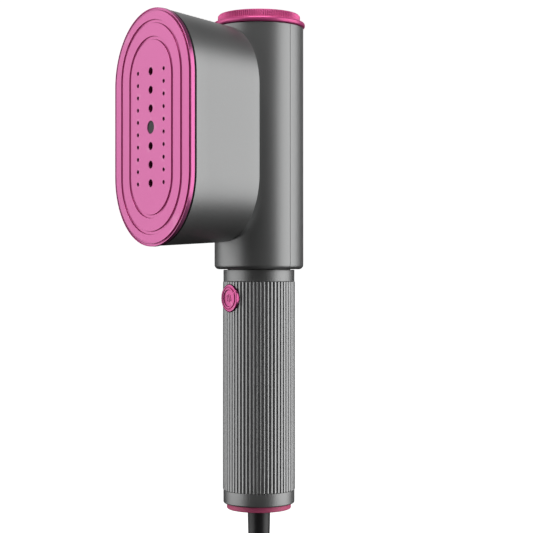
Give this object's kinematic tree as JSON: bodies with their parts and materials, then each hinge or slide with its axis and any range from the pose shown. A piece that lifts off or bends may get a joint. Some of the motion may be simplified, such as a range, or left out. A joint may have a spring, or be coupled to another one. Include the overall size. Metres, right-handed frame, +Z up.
{
  "type": "garment steamer",
  "caption": "Handheld garment steamer with an obround heated soleplate, a barrel holding tank and pump, a screw filler cap, a ribbed grip with a steam button and a mains cord.",
  "frame": {"origin": "on the handle axis at the middle of the smooth neck collar, where a holder takes the steamer", "axes": "+Z up the handle axis towards the filler cap, -Y out of the soleplate, +X to the right seen from behind the soleplate"},
  "size_m": [0.076, 0.0985, 0.5698],
  "materials": {
    "plate_coating": "satin ceramic-coated aluminium",
    "fuchsia_plastic": "satin metallic lacquer on plastic",
    "body_paint": "satin metallic grey lacquer on plastic",
    "black_silicone": "matt silicone rubber",
    "dark_steel": "dark satin steel",
    "clear_silicone": "translucent silicone",
    "cast_aluminium": "as-cast",
    "element_steel": "plain steel",
    "bakelite": "matt heat-proof plastic",
    "shield_board": "mica board",
    "tank_plastic": "translucent grey polycarbonate",
    "neck_plastic": "moulded grey plastic",
    "white_nylon": "moulded nylon",
    "bright_steel": "bright plated steel",
    "coil_winding": "enamelled copper wire",
    "lead_sleeve": "glass-fibre sleeve",
    "switch_red": "moulded plastic",
    "circuit_board": "solder mask",
    "capacitor_can": "shrink sleeve",
    "triac_metal": "moulded epoxy with a metal tab",
    "cord_pvc": "satin black PVC",
    "tie_strap": "woven hook-and-loop strap"
  },
  "bodies": {
    "housing": {"soleplate": "plate_coating", "plate_gasket": "black_silicone", "centre_plug": "dark_steel", "chamber_seal": "clear_silicone", "heater_block": "cast_aluminium", "heating_element": "element_steel", "soleplate_screws": "element_steel", "thermostat": "bakelite", "thermal_fuse": "element_steel", "heat_shield": "shield_board", "head_shell": "body_paint", "neck_screws": "element_steel", "barrel_shell": "body_paint", "rear_cover": "body_paint", "water_tank": "tank_plastic", "filler_neck": "neck_plastic", "supply_hose": "clear_silicone", "delivery_hose": "clear_silicone", "pump_cylinder": "white_nylon", "pump_spring": "bright_steel", "pump_head": "white_nylon", "valve_spring": "bright_steel", "pump_coil": "coil_winding", "pump_yoke": "bright_steel", "pump_cradle": "bakelite", "heater_leads": "lead_sleeve", "handle_core": "bakelite", "lock_ring": "bakelite", "neck_collar": "body_paint", "grip_sleeve": "body_paint", "lower_ferrule": "body_paint", "end_ring": "fuchsia_plastic", "button_guide": "bakelite", "button_spring": "bright_steel", "switch_body": "bakelite", "switch_bracket": "bakelite", "control_board": "circuit_board", "capacitor": "capacitor_can", "power_triac": "triac_metal", "cord_clamp": "bakelite", "clamp_screws": "element_steel", "inner_lead": "cord_pvc", "strain_relief": "cord_pvc", "power_cord": "cord_pvc", "cord_hank": "cord_pvc", "cord_tie": "tie_strap", "plug_body": "cord_pvc", "plug_pins": "bright_steel"},
    "cap_seal_ring": {"cap_seal": "black_silicone"},
    "cap": {"filler_cap": "fuchsia_plastic"},
    "button": {"steam_button": "fuchsia_plastic"},
    "switch_pin": {"switch_plunger": "switch_red"},
    "plunger": {"pump_plunger": "bright_steel"},
    "poppet": {"valve_poppet": "black_silicone"}
  },
  "joints": [
    {"name": "cap_lift", "type": "slide", "parent": "housing", "child": "cap_seal_ring", "axis": [0, 0, 1], "range_m": [0, 0.0066]},
    {"name": "cap_turn", "type": "hinge", "parent": "cap_seal_ring", "child": "cap", "pos_m": [0, 0, 0.1356], "axis": [0, 0, 1], "range_deg": [0, 660]},
    {"name": "button_press", "type": "slide", "parent": "housing", "child": "button", "axis": [0, 1, 0], "range_m": [0, 0.0012], "stiffness_N_per_m": 900, "springref_m": -0.0025, "deforming": ["button_spring"]},
    {"name": "switch_press", "type": "slide", "parent": "housing", "child": "switch_pin", "axis": [0, 1, 0], "range_m": [0, 0.0012]},
    {"name": "pump_stroke", "type": "slide", "parent": "housing", "child": "plunger", "axis": [0, 0, 1], "range_m": [0, 0.0025], "stiffness_N_per_m": 300, "springref_m": -0.004, "deforming": ["pump_spring"]},
    {"name": "valve_lift", "type": "slide", "parent": "housing", "child": "poppet", "axis": [0, 0, 1], "range_m": [0, 0.001], "stiffness_N_per_m": 60, "springref_m": -0.002, "deforming": ["valve_spring"]}
  ],
  "couplings": [
    {"joint": "cap_lift", "follows": "cap_turn", "m_per_rad": 0.00055704},
    {"joint": "switch_press", "follows": "button_press", "ratio": 1}
  ]
}
